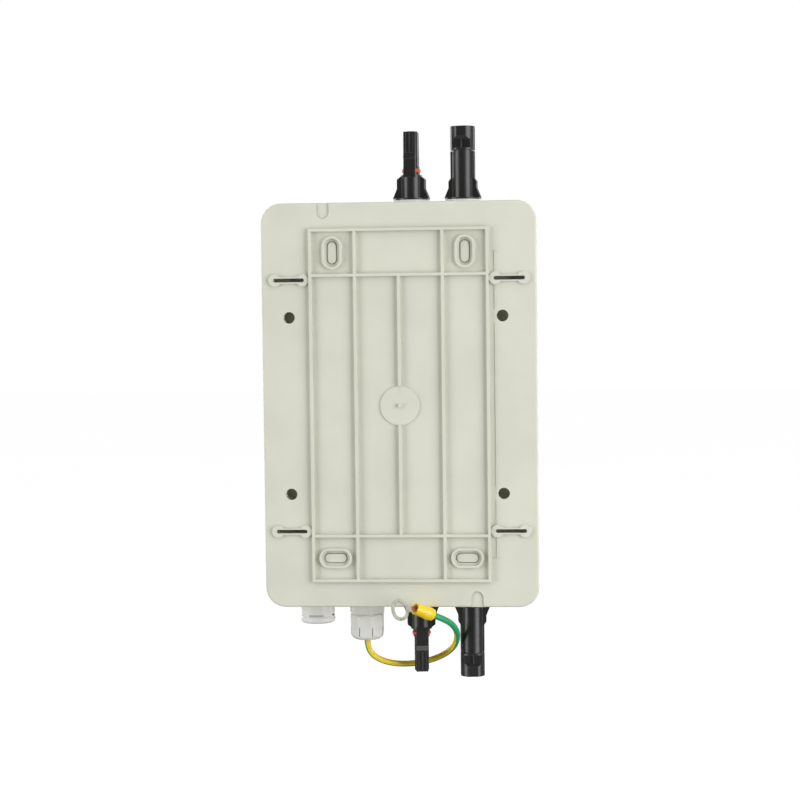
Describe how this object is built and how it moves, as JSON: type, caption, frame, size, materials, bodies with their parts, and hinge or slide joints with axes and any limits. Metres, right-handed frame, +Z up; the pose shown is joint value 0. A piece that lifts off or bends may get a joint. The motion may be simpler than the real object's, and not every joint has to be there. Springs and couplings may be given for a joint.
{
  "type": "solar dc combiner box",
  "caption": "Wall-mounted DC combiner box for a solar string: ribbed back shell, screwed cover with hinged window, breaker, fuses, surge modules, panel connectors and earth lead.",
  "frame": {"origin": "centre of the plane that the ribs on the back rest on, in the middle of the box height and width", "axes": "+Z up, +Y towards the wall, so the window faces -Y; +X is to the right of someone facing the window"},
  "size_m": [0.19, 0.1316, 0.3866],
  "materials": {
    "enclosure_plastic": "light warm grey moulded plastic with a fine satin texture",
    "gasket_rubber": "soft black rubber",
    "screw_steel": "bright zinc-plated steel",
    "window_plastic": "smoked transparent polycarbonate",
    "rail_steel": "passivated zinc-plated steel strip",
    "device_plastic": "light grey moulded device housing",
    "lever_plastic": "dark glossy lever",
    "carrier_plastic": "light grey moulded fuse carrier",
    "fuse_metal": "ceramic tube with plated metal end caps",
    "surge_plastic": "dark grey plug-in module",
    "pale_silicone": "translucent white silicone",
    "red_silicone": "orange-red silicone ring",
    "connector_plastic": "black glass-filled plastic with a satin skin",
    "contact_metal": "tin-plated copper contact",
    "gland_plastic": "pale grey satin nylon",
    "lead_jacket": "yellow wire insulation with a green stripe",
    "sleeve_vinyl": "soft yellow vinyl sleeve",
    "terminal_tin": "tin-plated copper",
    "strand_copper": "bare copper strands",
    "wire_red": "red cable insulation",
    "wire_black": "black cable insulation"
  },
  "bodies": {
    "enclosure": {"back_shell": "enclosure_plastic", "blanking_strips": "enclosure_plastic", "breaker_body": "device_plastic", "connector_nuts": "connector_plastic", "connector_seals": "pale_silicone", "cover_gasket": "gasket_rubber", "cover_screws": "screw_steel", "din_rail": "rail_steel", "door_pins": "screw_steel", "earth_lead": "lead_jacket", "earth_wire": "lead_jacket", "front_cover": "enclosure_plastic", "fuse_carrier_1": "carrier_plastic", "fuse_carrier_2": "carrier_plastic", "fuse_holder_1": "device_plastic", "fuse_holder_2": "device_plastic", "fuse_link_1": "fuse_metal", "fuse_link_2": "fuse_metal", "gland_body": "gland_plastic", "gland_nut": "gland_plastic", "gland_seal": "gasket_rubber", "inlet_latch_connector": "connector_plastic", "inlet_pin_contact": "contact_metal", "inlet_seal_ring": "red_silicone", "inlet_shell_connector": "connector_plastic", "inlet_socket_contact": "contact_metal", "inlet_wire_minus": "wire_black", "inlet_wire_plus": "wire_red", "lock_nuts": "gland_plastic", "outlet_latch_connector": "connector_plastic", "outlet_pin_contact": "contact_metal", "outlet_seal_ring": "red_silicone", "outlet_shell_connector": "connector_plastic", "outlet_socket_contact": "contact_metal", "outlet_wire_minus": "wire_black", "outlet_wire_plus": "wire_red", "rail_screws": "screw_steel", "rail_stops": "device_plastic", "ring_terminal": "terminal_tin", "surge_base": "device_plastic", "surge_module_1": "surge_plastic", "surge_module_2": "surge_plastic", "surge_module_3": "surge_plastic", "surge_wire_minus": "wire_black", "surge_wire_plus": "wire_red", "tap_wire_minus": "wire_black", "tap_wire_plus": "wire_red", "terminal_sleeve": "sleeve_vinyl", "vent_plug": "gland_plastic", "wire_strands": "strand_copper"},
    "window": {"window_door": "window_plastic"},
    "breaker_handle": {"breaker_lever": "lever_plastic"}
  },
  "joints": [
    {"name": "window_hinge", "type": "hinge", "parent": "enclosure", "child": "window", "pos_m": [0, -0.105, 0.052], "axis": [-1, 0, 0], "range_deg": [0, 115]},
    {"name": "breaker_toggle", "type": "hinge", "parent": "enclosure", "child": "breaker_handle", "pos_m": [0, -0.088, 0], "axis": [1, 0, 0], "range_deg": [0, 48]}
  ]
}
